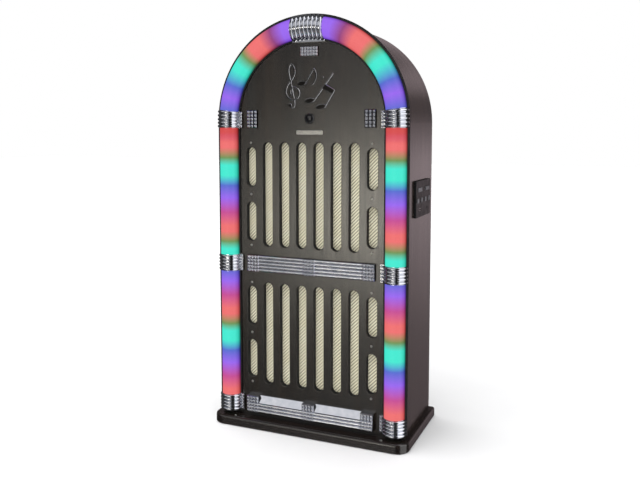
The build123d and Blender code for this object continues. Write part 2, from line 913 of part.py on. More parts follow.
def control_plate():
    """Tray-shaped plate on four posts that hold the circuit board."""
    width, height = panel_size
    plate = on_side(cabinet_half_width + panel_rise / 2, 0, 0) * Box(panel_rise, width, height)
    plate = fillet(plate.edges().filter_by(Axis.X), panel_corner)
    plate = fillet(plate.faces().sort_by(Axis.X)[-1].edges(), panel_edge_round)
    hollow = panel_rise - panel_skin
    cavity = Box(hollow, width - 2 * panel_wall, height - 2 * panel_wall)
    plate -= on_side(cabinet_half_width + hollow / 2, 0, 0) * cavity
    plate -= plate_openings()
    post_length = cabinet_half_width + hollow - circuit_face_x
    post = Rot(0, 90, 0) * Cylinder(post_radius, post_length)
    for dy in (-post_reach[0], post_reach[0]):
        for dz in (-post_reach[1], post_reach[1]):
            plate += on_side(circuit_face_x + post_length / 2, dy, dz) * post
    return plate


def button(dy, dz, size):
    """Cap through the plate and a flange behind it; pressed, it travels to -X."""
    front = panel_face_x + button_proud
    cap = on_side((button_back_x + front) / 2, dy, dz) * Box(front - button_back_x, size[0], size[1])
    cap = fillet(cap.faces().sort_by(Axis.X)[-1].edges(), button_proud / 2)
    flange = Box(button_flange, size[0] + 2 * button_lip, size[1] + 2 * button_lip)
    return cap + on_side(button_back_x + button_flange / 2, dy, dz) * flange


def main_board():
    """Circuit board with a switch under each button, four cans and a finned heat sink."""
    board = on_side(circuit_x + circuit_thickness / 2, 0, 0) * Box(circuit_thickness, *circuit_size)
    switch_height = button_back_x - button_travel - switch_slack - circuit_face_x
    switch = Box(switch_height, switch_size, switch_size)
    for _, dy, dz, _ in button_outlines():
        board += on_side(circuit_face_x + switch_height / 2, dy, dz) * switch
    for can, places in ((small_can, small_can_places), (large_can, large_can_places)):
        radius, height = can
        for dy, dz in places:
            board += on_side(circuit_x - height / 2, dy, dz) * Rot(0, 90, 0) * Cylinder(radius, height)
    for fin in range(fin_count):
        board += on_side(circuit_x - fin_size[0] / 2, 0, fin_low + fin_pitch * fin) * Box(*fin_size)
    return board


def usb_socket():
    """Shell with its contact tongue; the mouth is flush with the plate."""
    depth = panel_face_x - circuit_face_x
    shell = Pos(-depth / 2, 0, 0) * Box(depth, usb_shell[0], usb_shell[1])
    shell -= Pos(-usb_depth / 2, 0, 0) * Box(usb_depth, usb_opening[0], usb_opening[1])
    shell += Pos(usb_tongue[0] / 2 - usb_depth, 0, usb_tongue[2] / 2) * Box(*usb_tongue)
    return on_side(panel_face_x, -socket_y, socket_row) * shell


def audio_socket():
    """Round socket with a bore for a plug."""
    depth = panel_face_x - circuit_face_x
    barrel = Pos(0, 0, -depth / 2) * Cylinder(audio_radius, depth)
    barrel -= Pos(0, 0, -audio_depth / 2) * Cylinder(audio_bore, audio_depth)
    return on_side(panel_face_x, socket_y, socket_row) * Rot(0, 90, 0) * barrel


def power_socket():
    """Round socket in the rear panel, with a centre pin."""
    flange = Pos(0, 0, power_flange_height / 2) * Cylinder(power_flange_radius, power_flange_height)
    flange = fillet(flange.edges().group_by(Axis.Z)[-1], power_flange_height / 2)
    barrel = Pos(0, 0, -power_barrel_length / 2) * Cylinder(power_barrel_radius, power_barrel_length)
    depth = power_flange_height + power_bore_depth
    middle = Pos(0, 0, power_flange_height - depth / 2)
    bore = middle * Cylinder(power_bore, depth)
    pin = middle * Cylinder(power_pin_radius, depth)
    return Pos(0, rear_face_y, power_z) * Rot(-90, 0, 0) * (flange + barrel - bore + pin)


# ---- Every node ----
def cabinet_nodes():
    return {
        "front_baffle": front_baffle(),
        "side_panel_left": left_hand(side_panel()),
        "side_panel_right": side_panel_right(),
        "arch_panel": arch_panel(),
        "rear_panel": rear_panel(),
        "rear_panel_screws": rear_panel_screws(),
        "base_plinth": base_plinth(),
        "bottom_board": bottom_board(),
        "corner_cleats": corner_cleats(),
        "rubber_feet": rubber_feet(),
        "chrome_screws": chrome_screws(),
    }


def column_nodes():
    parts = {
        "light_channel": light_channel(),
        "led_strips": led_strips(),
        "collar_crown": crown_collar(),
    }
    right_hand = {
        "light_tube_{}_lower": light_tube(column_foot_s, middle_s),
        "light_tube_{}_upper": light_tube(middle_s, 0),
        "light_tube_{}_arch": light_tube(0, crown_s),
        "collar_{}_foot": foot_collar(),
        "collar_{}_middle": collar(middle_s, collar_height),
        "collar_{}_shoulder": collar(shoulder_middle_s, shoulder_height),
    }
    for name, piece in right_hand.items():
        parts[name.format("right")] = piece
        parts[name.format("left")] = left_hand(piece)
    return parts


def front_nodes():
    return {
        "side_badges": side_badges(),
        "badge_crown": badge_crown(),
        "crossbar_middle": crossbar_middle(),
        "crossbar_base": crossbar_base(),
        "nameplate": nameplate(),
        "emblem_clef": emblem_clef(),
        "emblem_eighth_note": emblem_eighth_note(),
        "emblem_beamed_notes": emblem_beamed_notes(),
        "receiver_bezel": receiver_bezel(),
        "receiver_lens": receiver_lens(),
    }


def speaker_nodes():
    lower, upper = section_z
    small = small_driver()
    large = woofer()
    places = [driver_place(x, upper) for x in (-small_driver_x, small_driver_x)]
    large_place = driver_place(0, lower)
    return {
        "grille_cloth_upper": grille_cloth(upper),
        "grille_cloth_lower": grille_cloth(lower),
        "speaker_board_upper": speaker_board(upper, small.opening(), (-small_driver_x, small_driver_x)),
        "speaker_board_lower": speaker_board(lower, large.opening(), (0,)),
        "driver_baskets": Compound(children=[place * driver_basket(small) for place in places]),
        "driver_magnets": Compound(children=[place * driver_magnet(small) for place in places]),
        "driver_surrounds": Compound(children=[place * driver_surround(small) for place in places]),
        "driver_cone_left": places[0] * driver_cone(small),
        "driver_cone_right": places[1] * driver_cone(small),
        "woofer_basket": large_place * driver_basket(large),
        "woofer_magnet": large_place * driver_magnet(large),
        "woofer_surround": large_place * driver_surround(large),
        "woofer_cone": large_place * driver_cone(large),
    }


def control_nodes():
    parts = {name: button(dy, dz, size) for name, dy, dz, size in button_outlines()}
    parts["control_plate"] = control_plate()
    parts["main_board"] = main_board()
    parts["usb_socket"] = usb_socket()
    parts["audio_socket"] = audio_socket()
    parts["power_socket"] = power_socket()
    return parts


def every_node():
    groups = (cabinet_nodes, column_nodes, front_nodes, speaker_nodes, control_nodes)
    return [item for group in groups for item in group().items()]


os.makedirs("parts", exist_ok=True)
for node, shape in every_node():
    export_step(shape, f"parts/{node}.step")
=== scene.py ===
import json
import math

import bpy
import numpy as np
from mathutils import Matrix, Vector


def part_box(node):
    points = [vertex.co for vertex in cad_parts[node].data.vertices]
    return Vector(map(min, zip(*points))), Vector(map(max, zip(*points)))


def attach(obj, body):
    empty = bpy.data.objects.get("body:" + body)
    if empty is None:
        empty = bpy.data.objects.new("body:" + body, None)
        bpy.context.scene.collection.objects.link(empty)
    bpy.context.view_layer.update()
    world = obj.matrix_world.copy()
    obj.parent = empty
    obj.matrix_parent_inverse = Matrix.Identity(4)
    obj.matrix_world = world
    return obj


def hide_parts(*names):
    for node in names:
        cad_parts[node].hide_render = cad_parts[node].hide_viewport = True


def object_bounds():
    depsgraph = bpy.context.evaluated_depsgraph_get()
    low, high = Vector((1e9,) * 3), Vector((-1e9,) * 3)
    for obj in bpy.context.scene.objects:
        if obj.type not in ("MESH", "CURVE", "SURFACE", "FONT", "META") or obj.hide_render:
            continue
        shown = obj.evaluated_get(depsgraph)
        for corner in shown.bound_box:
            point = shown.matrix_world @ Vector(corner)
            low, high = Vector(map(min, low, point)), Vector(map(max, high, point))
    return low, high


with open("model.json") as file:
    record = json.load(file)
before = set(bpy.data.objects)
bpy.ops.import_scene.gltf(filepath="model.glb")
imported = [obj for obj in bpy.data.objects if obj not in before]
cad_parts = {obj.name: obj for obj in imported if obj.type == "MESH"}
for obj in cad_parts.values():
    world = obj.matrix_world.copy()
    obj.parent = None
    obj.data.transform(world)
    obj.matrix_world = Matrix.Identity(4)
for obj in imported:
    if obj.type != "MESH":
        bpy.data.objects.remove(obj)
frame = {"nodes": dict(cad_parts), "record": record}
cad_low, cad_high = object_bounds()

# ---- Sizes and places read from the frame, in metres ----
MM = 0.001
shoulder_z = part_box("side_panel_right")[1].z       # centre of the cabinet's arch
spring_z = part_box("light_tube_right_arch")[0].z     # centre of the light columns' arch
front_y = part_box("front_baffle")[0].y
tube_low, tube_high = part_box("light_tube_right_lower")
tube_x = (tube_low.x + tube_high.x) / 2
tube_radius = (tube_high.x - tube_low.x) / 2


# ---- Camera ----
lens = 41.19                        # millimetres, on a sensor 36 mm wide
lens_shift = -0.08                  # as a share of the picture's width
farthest_seen = 60.0
eye = (0.7524, -1.8015, 0.795)
look_down = math.radians(4.747)
look_left = math.radians(23.05)     # from straight at the front


def make_camera():
    """Camera at the reference viewpoint."""
    data = bpy.data.cameras.new("camera")
    data.lens = lens
    data.shift_y = lens_shift
    data.clip_end = farthest_seen
    camera = bpy.data.objects.new("camera", data)
    camera.location = eye
    camera.rotation_euler = (math.pi / 2 - look_down, 0.0, look_left)
    bpy.context.scene.collection.objects.link(camera)
    bpy.context.scene.camera = camera


# ---- Shader helpers ----
def linear(red, green, blue):
    """Linear colour from 8-bit display values."""
    shares = [channel / 255 for channel in (red, green, blue)]
    return (*[s / 12.92 if s <= 0.04045 else ((s + 0.055) / 1.055) ** 2.4 for s in shares], 1.0)


def feed(tree, socket, value):
    """A fixed value for a socket, or a link from another node's output."""
    if isinstance(value, bpy.types.NodeSocket):
        tree.links.new(value, socket)
    else:
        socket.default_value = value


def add(tree, kind, inputs=None, **settings):
    """New shader node; inputs are fed to its sockets, settings are its own properties."""
    node = tree.nodes.new("ShaderNode" + kind)
    for key, value in settings.items():
        setattr(node, key, value)
    for key, value in (inputs or {}).items():
        feed(tree, node.inputs[key], value)
    return node


def maths(tree, operation, *values):
    """Output of a Math node fed with the values in order."""
    inputs = dict(enumerate(values))
    return add(tree, "Math", inputs, operation=operation).outputs[0]


def ramp(tree, factor, stops):
    """Colour ramp; each stop is (position, colour)."""
    node = add(tree, "ValToRGB", {"Fac": factor})
    elements = node.color_ramp.elements
    for index, (position, colour) in enumerate(stops):
        element = elements[index] if index < 2 else elements.new(position)
        element.position = position
        element.color = colour
    return node.outputs["Color"]


def grey_ramp(tree, factor, stops):
    """Ramp of plain values; each stop is (position, value)."""
    return ramp(tree, factor, [(position, (value, value, value, 1.0)) for position, value in stops])


def blend(tree, factor, first, second, mode="MIX"):
    """Mix of two colours, in any blending mode."""
    node = tree.nodes.new("ShaderNodeMix")
    node.data_type = "RGBA"
    node.blend_type = mode
    feed(tree, node.inputs[0], factor)
    feed(tree, node.inputs[6], first)
    feed(tree, node.inputs[7], second)
    return node.outputs[2]


def place(tree):
    """Point on the object in the row frame, in metres."""
    return add(tree, "TexCoord").outputs["Object"]


def scaled(tree, point, scale):
    """Point with each coordinate multiplied by its own scale."""
    return add(tree, "Mapping", {"Vector": point, "Scale": scale}).outputs["Vector"]


def noise(tree, point, scale, detail=4.0, roughness=0.5, distortion=0.0):
    """Cloudy pattern between 0 and 1."""
    inputs = {
        "Vector": point,
        "Scale": scale,
        "Detail": detail,
        "Roughness": roughness,
        "Distortion": distortion,
    }
    return add(tree, "TexNoise", inputs).outputs[0]


def bump(tree, height, strength, distance):
    """Surface normal for a relief of the given depth in metres."""
    inputs = {"Height": height, "Strength": strength, "Distance": distance}
    return add(tree, "Bump", inputs).outputs["Normal"]


def surface(name, **sockets):
    """New material and its node tree; keyword names are the shader's sockets, with _ for a space."""
    made = bpy.data.materials.new(name)
    made.use_nodes = True
    tree = made.node_tree
    shader = tree.nodes["Principled BSDF"]
    for key, value in sockets.items():
        shader.inputs[key.replace("_", " ")].default_value = value
    return made, tree, shader.inputs


# ---- Wood ----
foil_turn = 1.2 * MM        # how far the foil turns into a slot; deeper in, the slot walls get painted shade, near-black
# painted shade: the near-black colour of the slot walls
painted_slot_shade = linear(13, 12, 12)
bare_roughness = (0.95, 0.95, 0.95, 1.0)
foil_shine = 1.0            # specular level of the foil


def grain_point(tree, direction):
    """Coordinates in which the grain runs along z, in metres."""
    point = place(tree)
    if direction == "upright":
        return point
    split = add(tree, "SeparateXYZ", {0: point}).outputs
    if direction == "across":
        return add(tree, "CombineXYZ", {0: split[2], 1: split[1], 2: split[0]}).outputs[0]
    rise = maths(tree, "SUBTRACT", split[2], shoulder_z)
    angle = maths(tree, "ARCTAN2", split[0], rise)
    square = maths(tree, "ADD", maths(tree, "POWER", rise, 2.0), maths(tree, "POWER", split[0], 2.0))
    radius = maths(tree, "SQRT", square)
    along = maths(tree, "MULTIPLY", angle, cad_high.x)
    return add(tree, "CombineXYZ", {0: radius, 1: split[1], 2: along}).outputs[0]


def veneer(name, direction, dark, middle, light, shade_slots=False):
    """Satin dark wood-grain foil with fine pores along the grain; when asked, the walls inside the slots are
    painted near-black as shade.
    """
    made, tree, inputs = surface(name, Specular_IOR_Level=foil_shine)
    point = grain_point(tree, direction)
    bands = noise(tree, scaled(tree, point, (16.0, 16.0, 0.55)), 1.0, 5.0, 0.62, 0.6)
    streaks = noise(tree, scaled(tree, point, (150.0, 150.0, 3.0)), 1.0, 5.0, 0.6)
    pores = noise(tree, scaled(tree, point, (620.0, 620.0, 14.0)), 1.0, 2.0, 0.5)
    grain = maths(tree, "MULTIPLY_ADD", streaks, 0.55, maths(tree, "MULTIPLY", bands, 0.45))
    colour = ramp(tree, grain, [(0.36, dark), (0.50, middle), (0.64, light)])
    pore_share = grey_ramp(tree, pores, [(0.34, 0.45), (0.46, 1.0)])
    colour = blend(tree, 1.0, colour, pore_share, "MULTIPLY")
    gloss = grey_ramp(tree, streaks, [(0.36, 0.24), (0.62, 0.16)])
    if shade_slots:
        # painted shade: deeper than the foil's turn, the slot walls are near-black and matte
        depth = add(tree, "SeparateXYZ", {0: place(tree)}).outputs[1]
        inside = maths(tree, "GREATER_THAN", depth, front_y + foil_turn)
        colour = blend(tree, inside, colour, painted_slot_shade)
        gloss = blend(tree, inside, gloss, bare_roughness)
    feed(tree, inputs["Base Color"], colour)
    feed(tree, inputs["Roughness"], gloss)
    height = maths(tree, "MULTIPLY_ADD", pores, 0.6, maths(tree, "MULTIPLY", streaks, 0.4))
    feed(tree, inputs["Normal"], bump(tree, height, 0.18, 0.0004))
    return made


def espresso(name, direction):
    """Foil of the cabinet's sides and arch."""
    return veneer(name, direction, linear(20, 15, 12), linear(36, 28, 24), linear(58, 47, 41))


def baffle_foil():
    """Foil of the front board, a shade darker, with painted shade near-black inside its slots."""
    dark, middle, light = linear(13, 10, 7), linear(24, 18, 13), linear(42, 34, 26)
    return veneer("veneer_baffle", "upright", dark, middle, light, shade_slots=True)


def plinth_wood():
    """Foil of the plinth, with its grain from side to side."""
    return veneer("veneer_plinth", "across", linear(20, 15, 13), linear(28, 22, 20), linear(40, 32, 28))


def board(name, low, high):
    """Raw or blackened fibreboard: flecks and a slightly furry surface."""
    made, tree, inputs = surface(name, Specular_IOR_Level=0.3)
    point = place(tree)
    flecks = noise(tree, point, 900.0, 3.0, 0.7)
    clouds = noise(tree, point, 35.0, 4.0, 0.6)
    mixed = maths(tree, "MULTIPLY_ADD", flecks, 0.6, maths(tree, "MULTIPLY", clouds, 0.4))
    feed(tree, inputs["Base Color"], ramp(tree, mixed, [(0.35, low), (0.65, high)]))
    feed(tree, inputs["Roughness"], grey_ramp(tree, flecks, [(0.3, 0.9), (0.7, 0.7)]))
    feed(tree, inputs["Normal"], bump(tree, flecks, 0.3, 0.0003))
    return made


# ---- Running lights ----
pink_centre_z = 0.755       # middle of the topmost pink lamp on a straight column
straight_period = 0.222     # length of column after which the colours repeat
arch_length = 0.330         # the arch's colours run over this length, from its spring
top_fade = 0.028            # height in which the topmost lamp turns from pink to red
lamp_glow = 0.97            # strength of the emission
strip_thickness = 1.4 * MM  # of the strip that carries the lamps
unlit_share = (0.06, 0.06, 0.06, 1.0)       # the diffuser's own colour, against the colour it emits
red = linear(215, 80, 80)
coral = linear(240, 115, 115)
leaf = linear(115, 150, 90)
turquoise = linear(70, 235, 210)
blue = linear(90, 110, 210)
violet = linear(155, 105, 240)
magenta = linear(200, 80, 150)
plum = linear(150, 70, 130)
column_cycle = (
    (0.05, coral),
    (0.17, leaf),
    (0.26, turquoise),
    (0.38, turquoise),
    (0.50, blue),
    (0.65, violet),
    (0.82, magenta),
    (0.98, coral),
)
arch_run = (
    (0.06, blue),
    (0.18, violet),
    (0.28, blue),
    (0.40, turquoise),
    (0.45, turquoise),
    (0.53, leaf),
    (0.60, coral),
    (0.70, coral),
    (0.80, plum),
    (0.90, violet),
)


def column_share(tree, split):
    """How far along the colour cycle a point of a straight column is."""
    down = maths(tree, "SUBTRACT", pink_centre_z, split[2])
    return maths(tree, "FRACT", maths(tree, "DIVIDE", down, straight_period))


def arch_share(tree, split):
    """How far a point of the arch is from its spring, as a share of its length."""
    rise = maths(tree, "SUBTRACT", split[2], spring_z)
    angle = maths(tree, "ARCTAN2", rise, maths(tree, "ABSOLUTE", split[0]))
    return maths(tree, "MULTIPLY", angle, tube_x / arch_length)


def diffuser(name, share_of, colours, top_colour=None):
    """Frosted half-round plastic lit from behind, dimmer where it meets the cabinet.

    With top_colour, the stretch above the topmost pink lamp has that colour.
    """
    made, tree, inputs = surface(name, Roughness=0.45, Emission_Strength=lamp_glow, Specular_IOR_Level=0.25)
    split = add(tree, "SeparateXYZ", {0: place(tree)}).outputs
    colour = ramp(tree, share_of(tree, split), colours)
    if top_colour:
        top_share = grey_ramp(tree, split[2], [(pink_centre_z, 0.0), (pink_centre_z + top_fade, 1.0)])
        colour = blend(tree, top_share, colour, top_colour)
    depth = maths(tree, "DIVIDE", maths(tree, "SUBTRACT", front_y, split[1]), tube_radius)
    frost = noise(tree, place(tree), 260.0, 3.0, 0.6)
    share = grey_ramp(tree, depth, [(0.0, 0.05), (0.15, 0.24), (0.4, 0.74), (0.7, 0.97), (1.0, 1.0)])
    edge_gamma = maths(tree, "MULTIPLY_ADD", share, -0.5, 1.5)
    richer = add(tree, "Gamma", {"Color": colour, "Gamma": edge_gamma}).outputs[0]
    lit = blend(tree, 1.0, richer, share, "MULTIPLY")
    cloudy = grey_ramp(tree, frost, [(0.3, 0.95), (0.7, 1.0)])
    feed(tree, inputs["Emission Color"], blend(tree, 1.0, lit, cloudy, "MULTIPLY"))
    feed(tree, inputs["Base Color"], blend(tree, 1.0, colour, unlit_share, "MULTIPLY"))
    feed(tree, inputs["Normal"], bump(tree, frost, 0.05, 0.0002))
    return made


def lamp():
    """White lamps on a pale strip."""
    made, tree, inputs = surface("lamp", Roughness=0.35)
    split = add(tree, "SeparateXYZ", {0: place(tree)}).outputs
    raised = maths(tree, "GREATER_THAN", maths(tree, "SUBTRACT", front_y, split[1]), strip_thickness)
    tint = noise(tree, place(tree), 300.0)
    strip = ramp(tree, tint, [(0.3, linear(205, 205, 196)), (0.7, linear(232, 232, 226))])
    feed(tree, inputs["Base Color"], blend(tree, raised, strip, linear(250, 244, 214)))
    feed(tree, inputs["Normal"], bump(tree, tint, 0.1, 0.0001))
    return made


# ---- Metals ----
badge_base = 3.0 * MM       # thickness of a badge below its studs
badge_crest_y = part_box("badge_crown")[0].y
bar_base = 3.0 * MM         # thickness of the middle bar below its ribs
rib_crest = 2.0 * MM        # height of its ribs and studs
block_reach = 161.0 * MM    # from the bar's middle to the middle of an end block
block_half = 17.0 * MM      # half the length of a block
block_lift = 2.5 * MM       # how far a block's floor stands above the ribs' valleys


def bar_height(tree, split):
    """Height above the valleys of the middle bar's ribs, or of its studded blocks, as a share."""
    side = maths(tree, "ABSOLUTE", split[0])
    from_end_block = maths(tree, "ABSOLUTE", maths(tree, "SUBTRACT", side, block_reach))
    offset = maths(tree, "MINIMUM", side, from_end_block)
    in_block = maths(tree, "LESS_THAN", offset, block_half)
    ahead = maths(tree, "SUBTRACT", front_y - bar_base, split[1])
    above = maths(tree, "MULTIPLY_ADD", in_block, -block_lift, ahead)
    return maths(tree, "DIVIDE", above, rib_crest)


def badge_height(tree, split):
    """Height above the floor between a badge's studs, as a share."""
    above = maths(tree, "SUBTRACT", front_y - badge_base, split[1])
    return maths(tree, "DIVIDE", above, front_y - badge_base - badge_crest_y)


def chrome(name, shade_height_of=None):
    """Vacuum-plated plastic: a faintly hazy mirror; with a height function, painted shade turns it black
    toward the bottom of a recess.
    """
    made, tree, inputs = surface(name, Metallic=1.0)
    point = place(tree)
    wave = noise(tree, point, 70.0, 2.0, 0.4)
    haze = noise(tree, point, 480.0, 4.0, 0.65)
    plating = ramp(tree, wave, [(0.3, linear(214, 217, 226)), (0.7, linear(228, 229, 236))])
    if shade_height_of:
        height = shade_height_of(tree, add(tree, "SeparateXYZ", {0: point}).outputs)
        # painted shade: the plating darkens to black in the valleys between the ribs and between the studs
        share = grey_ramp(tree, height, [(0.15, 0.02), (0.6, 1.0)])
        plating = blend(tree, 1.0, plating, share, "MULTIPLY")
    feed(tree, inputs["Base Color"], plating)
    feed(tree, inputs["Roughness"], grey_ramp(tree, haze, [(0.35, 0.05), (0.7, 0.10)]))
    feed(tree, inputs["Normal"], bump(tree, wave, 0.02, 0.0006))
    return made


def black_chrome_rim_highlight():
    """Dark mirror plating, as on the raised symbols."""
    made, tree, inputs = surface("black_chrome_rim_highlight", Metallic=1.0)
    point = place(tree)
    wave = noise(tree, point, 90.0, 2.0, 0.4)
    haze = noise(tree, point, 520.0, 4.0, 0.65)
    normal = add(tree, "NewGeometry").outputs["Normal"]
    facing = maths(tree, "ABSOLUTE", add(tree, "SeparateXYZ", {0: normal}).outputs[1])
    face = ramp(tree, wave, [(0.3, linear(44, 42, 41)), (0.7, linear(58, 56, 54))])
    # painted highlight: faces turned away from the front are coloured pale silver, the flat fronts stay dark
    rim = grey_ramp(tree, facing, [(0.93, 1.0), (0.99, 0.0)])
    feed(tree, inputs["Base Color"], blend(tree, rim, face, linear(205, 205, 208)))
    feed(tree, inputs["Roughness"], grey_ramp(tree, haze, [(0.35, 0.10), (0.7, 0.16)]))
    feed(tree, inputs["Normal"], bump(tree, wave, 0.08, 0.0005))
    return made


def steel():
    """Nickel-plated sheet with drawn lines."""
    made, tree, inputs = surface("steel", Metallic=1.0)
    lines = noise(tree, scaled(tree, place(tree), (60.0, 1800.0, 1800.0)), 1.0, 3.0, 0.6)
    colour = ramp(tree, lines, [(0.3, linear(150, 150, 150)), (0.7, linear(205, 204, 200))])
    feed(tree, inputs["Base Color"], colour)
    feed(tree, inputs["Roughness"], grey_ramp(tree, lines, [(0.3, 0.22), (0.7, 0.42)]))
    feed(tree, inputs["Normal"], bump(tree, lines, 0.15, 0.0002))
    return made


def magnet():
    """Ferrite ring between plated plates: dark grey with pale chips and specks."""
    made, tree, inputs = surface("magnet", Metallic=0.35)
    specks = noise(tree, place(tree), 700.0, 5.0, 0.7)
    colour = ramp(tree, specks, [(0.4, linear(58, 58, 62)), (0.72, linear(112, 112, 116))])
    feed(tree, inputs["Base Color"], colour)
    feed(tree, inputs["Roughness"], grey_ramp(tree, specks, [(0.3, 0.7), (0.7, 0.5)]))
    feed(tree, inputs["Normal"], bump(tree, specks, 0.35, 0.0003))
    return made


def basket():
    """Black powder-painted pressed steel."""
    made, tree, inputs = surface("basket", Coat_Weight=0.2, Coat_Roughness=0.3)
    pebble = noise(tree, place(tree), 1400.0, 2.0, 0.5)
    colour = ramp(tree, pebble, [(0.3, linear(26, 26, 27)), (0.7, linear(42, 42, 44))])
    feed(tree, inputs["Base Color"], colour)
    feed(tree, inputs["Roughness"], grey_ramp(tree, pebble, [(0.3, 0.5), (0.7, 0.36)]))
    feed(tree, inputs["Normal"], bump(tree, pebble, 0.25, 0.0002))
    return made


# ---- Plastics, rubber, paper ----
def black_gloss():
    """Polished black plastic with a faint moulding ripple."""
    made, tree, inputs = surface("black_gloss", Coat_Weight=0.6, Coat_Roughness=0.06)
    ripple = noise(tree, place(tree), 120.0, 3.0, 0.5)
    colour = ramp(tree, ripple, [(0.3, linear(14, 14, 16)), (0.7, linear(24, 23, 25))])
    feed(tree, inputs["Base Color"], colour)
    feed(tree, inputs["Roughness"], grey_ramp(tree, ripple, [(0.3, 0.10), (0.7, 0.2)]))
    feed(tree, inputs["Normal"], bump(tree, ripple, 0.06, 0.0005))
    return made


def textured_plastic(name, low, high):
    """Moulded black plastic with a fine spark-eroded texture."""
    made, tree, inputs = surface(name, Specular_IOR_Level=0.3)
    point = place(tree)
    texture = noise(tree, point, 2400.0, 2.0, 0.6)
    wear = noise(tree, point, 55.0, 4.0, 0.6)
    mixed = maths(tree, "MULTIPLY_ADD", texture, 0.5, maths(tree, "MULTIPLY", wear, 0.5))
    feed(tree, inputs["Base Color"], ramp(tree, mixed, [(0.35, low), (0.65, high)]))
    feed(tree, inputs["Roughness"], grey_ramp(tree, wear, [(0.3, 0.52), (0.7, 0.4)]))
    feed(tree, inputs["Normal"], bump(tree, texture, 0.3, 0.00015))
    return made


def rubber():
    """Matte rubber with a powdery bloom."""
    made, tree, inputs = surface("rubber", Specular_IOR_Level=0.35)
    bloom = noise(tree, place(tree), 240.0, 5.0, 0.7)
    colour = ramp(tree, bloom, [(0.3, linear(22, 22, 22)), (0.7, linear(44, 43, 42))])
    feed(tree, inputs["Base Color"], colour)
    feed(tree, inputs["Roughness"], grey_ramp(tree, bloom, [(0.3, 0.72), (0.7, 0.9)]))
    feed(tree, inputs["Normal"], bump(tree, bloom, 0.2, 0.0003))
    return made


def cone_paper():
    """Pressed paper pulp with fibres."""
    made, tree, inputs = surface("cone", Specular_IOR_Level=0.3)
    point = place(tree)
    fibres = noise(tree, scaled(tree, point, (300.0, 300.0, 1500.0)), 1.0, 5.0, 0.75, 1.2)
    pulp = noise(tree, point, 160.0, 4.0, 0.6)
    mixed = maths(tree, "MULTIPLY_ADD", fibres, 0.6, maths(tree, "MULTIPLY", pulp, 0.4))
    colour = ramp(tree, mixed, [(0.35, linear(34, 34, 35)), (0.68, linear(72, 71, 70))])
    feed(tree, inputs["Base Color"], colour)
    feed(tree, inputs["Roughness"], grey_ramp(tree, fibres, [(0.3, 0.85), (0.7, 0.7)]))
    feed(tree, inputs["Normal"], bump(tree, fibres, 0.4, 0.0003))
    return made


def circuit():
    """Green solder mask over copper tracks."""
    made, tree, inputs = surface("circuit", Roughness=0.35)
    point = place(tree)
    cells = add(tree, "TexVoronoi", {"Vector": scaled(tree, point, (1.0, 210.0, 210.0)), "Scale": 1.0},
                distance="CHEBYCHEV").outputs["Distance"]
    tracks = grey_ramp(tree, cells, [(0.36, 0.0), (0.4, 1.0)])
    mask = noise(tree, point, 90.0)
    green = ramp(tree, mask, [(0.3, linear(18, 72, 44)), (0.7, linear(26, 92, 54))])
    copper = linear(58, 128, 70)
    feed(tree, inputs["Base Color"], blend(tree, tracks, copper, green))
    feed(tree, inputs["Normal"], bump(tree, tracks, 0.2, 0.0001))
    return made


# ---- Cloth ----
rib_pitch = 6.2 * MM       # across the diagonal ribs of the grille cloth
rib_height = 0.6 * MM
thread_pitch = 1.3 * MM
cloth_step = 1.5 * MM      # spacing of the cloth mesh's points
cloth_gap = 0.2 * MM       # between the cloth and the back of its CAD sheet
cloth_slack = 0.15 * MM    # how far the middle of the sheet bellies forward


def cloth_finish():
    """Cream threads in a diagonal twill; the valleys between the ribs are darkened with painted shade, and
    the ribs themselves are in the mesh.
    """
    made, tree, inputs = surface("cloth", Roughness=0.85, Sheen_Weight=0.35, Sheen_Roughness=0.5)
    point = place(tree)
    split = add(tree, "SeparateXYZ", {0: point}).outputs
    along = maths(tree, "ADD", split[0], split[2])
    across = maths(tree, "SUBTRACT", split[0], split[2])
    rib_turn = maths(tree, "MULTIPLY", across, math.pi / (math.sqrt(2) * rib_pitch))
    rib = maths(tree, "ABSOLUTE", maths(tree, "SINE", rib_turn))
    thread_turn = maths(tree, "MULTIPLY", along, math.pi / (math.sqrt(2) * thread_pitch))
    thread = maths(tree, "ABSOLUTE", maths(tree, "SINE", thread_turn))
    fuzz = noise(tree, point, 1500.0, 3.0, 0.7)
    patches = noise(tree, point, 24.0, 3.0, 0.6)
    yarn = maths(tree, "MULTIPLY_ADD", thread, 0.3, maths(tree, "MULTIPLY", fuzz, 0.7))
    crest = ramp(tree, yarn, [(0.2, linear(246, 238, 204)), (0.75, linear(255, 253, 232))])
    # painted shade: darker straw colour in the valleys between the ribs
    groove_shade = ramp(tree, yarn, [(0.2, linear(104, 92, 62)), (0.75, linear(136, 123, 88))])
    woven = blend(tree, grey_ramp(tree, rib, [(0.28, 0.0), (0.56, 1.0)]), groove_shade, crest)
    tint = ramp(tree, patches, [(0.3, (0.94, 0.92, 0.86, 1.0)), (0.7, (1.0, 1.0, 1.0, 1.0))])
    feed(tree, inputs["Base Color"], blend(tree, 1.0, woven, tint, "MULTIPLY"))
    height = maths(tree, "MULTIPLY_ADD", thread, 0.6, maths(tree, "MULTIPLY", fuzz, 0.4))
    feed(tree, inputs["Normal"], bump(tree, height, 0.5, 0.0003))
    return made


